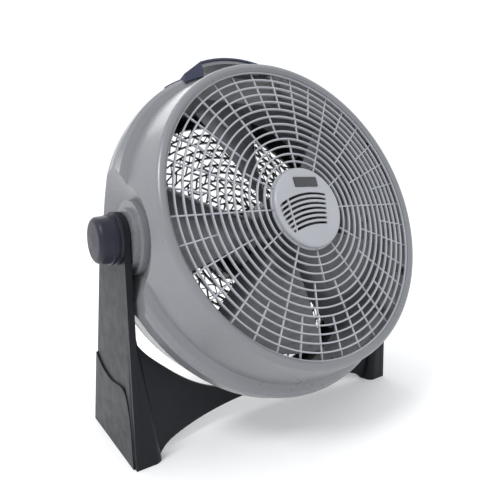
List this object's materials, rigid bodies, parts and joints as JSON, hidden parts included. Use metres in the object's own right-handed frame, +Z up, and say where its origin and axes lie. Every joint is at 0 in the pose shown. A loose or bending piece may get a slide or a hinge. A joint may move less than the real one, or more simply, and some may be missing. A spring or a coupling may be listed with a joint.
{
  "type": "tilting floor air circulator",
  "caption": "Round drum air circulator with a ring and spoke grille and an axial fan, tilting between the legs of a dark U-shaped floor yoke with side clamp knobs.",
  "frame": {"origin": "middle of the bounding box on the floor plane under the feet", "axes": "+Z up, front of the fan faces -Y, tilt axis along X"},
  "size_m": [0.6, 0.3808, 0.6097],
  "materials": {
    "housing_grey": "moulded grey plastic, satin gloss",
    "grille_grey": "moulded light grey plastic, satin",
    "cap_grey": "moulded light grey plastic, satin",
    "badge_dark": "smooth dark plate",
    "guard_black": "moulded black plastic, fine texture",
    "handle_blue": "moulded slate blue plastic",
    "stand_slate": "moulded dark slate plastic, satin",
    "knob_slate": "moulded dark slate plastic, satin",
    "control_grey": "moulded dark grey plastic",
    "rubber_black": "soft black rubber",
    "blade_grey": "glossy moulded grey plastic",
    "motor_steel": "zinc plated pressed steel",
    "laminated_steel": "stacked steel laminations",
    "copper_wire": "enamelled copper wire",
    "brass_insert": "machined brass",
    "electrical_plastic": "pale moulded plastic",
    "washer_nylon": "plain nylon",
    "bright_steel": "zinc plated steel"
  },
  "bodies": {
    "stand": {"stand_yoke": "stand_slate", "rubber_feet": "rubber_black"},
    "head": {"front_ring": "housing_grey", "drum_housing": "housing_grey", "rear_shell": "guard_black", "carry_handle": "handle_blue", "handle_core": "housing_grey", "handle_screws": "bright_steel", "front_grille": "grille_grey", "hub_cap": "cap_grey", "badge_plate": "badge_dark", "rear_guard": "guard_black", "grille_screws": "bright_steel", "seam_screws": "bright_steel", "shell_screws": "bright_steel", "guard_screws": "bright_steel", "motor_rear_shell": "motor_steel", "motor_front_shell": "motor_steel", "stator_core": "laminated_steel", "stator_windings": "copper_wire", "rear_bearing": "bright_steel", "front_bearing": "bright_steel", "motor_screws": "bright_steel", "rear_cover": "guard_black", "cord_gland": "rubber_black", "rotary_switch": "electrical_plastic", "run_capacitor": "electrical_plastic", "terminal_block": "electrical_plastic", "cover_screws": "bright_steel", "left_pivot_bolt": "bright_steel", "right_pivot_bolt": "bright_steel", "left_friction_washer": "washer_nylon", "right_friction_washer": "washer_nylon"},
    "fan": {"rotor": "laminated_steel", "motor_shaft": "bright_steel", "impeller": "blade_grey", "drive_pin": "bright_steel", "fan_nut": "bright_steel"},
    "speed_control": {"speed_knob": "control_grey", "switch_shaft": "bright_steel"},
    "left_knob": {"left_tilt_knob": "knob_slate", "left_knob_insert": "brass_insert"},
    "right_knob": {"right_tilt_knob": "knob_slate", "right_knob_insert": "brass_insert"}
  },
  "joints": [
    {"name": "head_tilt", "type": "hinge", "parent": "stand", "child": "head", "pos_m": [0, -0.0093, 0.326], "axis": [1, 0, 0], "range_deg": [-67, 30]},
    {"name": "fan_spin", "type": "hinge", "parent": "head", "child": "fan", "pos_m": [0, -0.0093, 0.326], "axis": [0, -0.9219, 0.3875], "continuous": true},
    {"name": "speed_turn", "type": "hinge", "parent": "head", "child": "speed_control", "pos_m": [0, 0.11976, 0.27175], "axis": [0, 0.9219, -0.3875], "range_deg": [0, 135]},
    {"name": "left_knob_turn", "type": "hinge", "parent": "stand", "child": "left_knob", "pos_m": [-0.29, -0.0093, 0.326], "axis": [-1, 0, 0], "range_deg": [0, 360]},
    {"name": "right_knob_turn", "type": "hinge", "parent": "stand", "child": "right_knob", "pos_m": [0.29, -0.0093, 0.326], "axis": [1, 0, 0], "range_deg": [0, 360]}
  ]
}
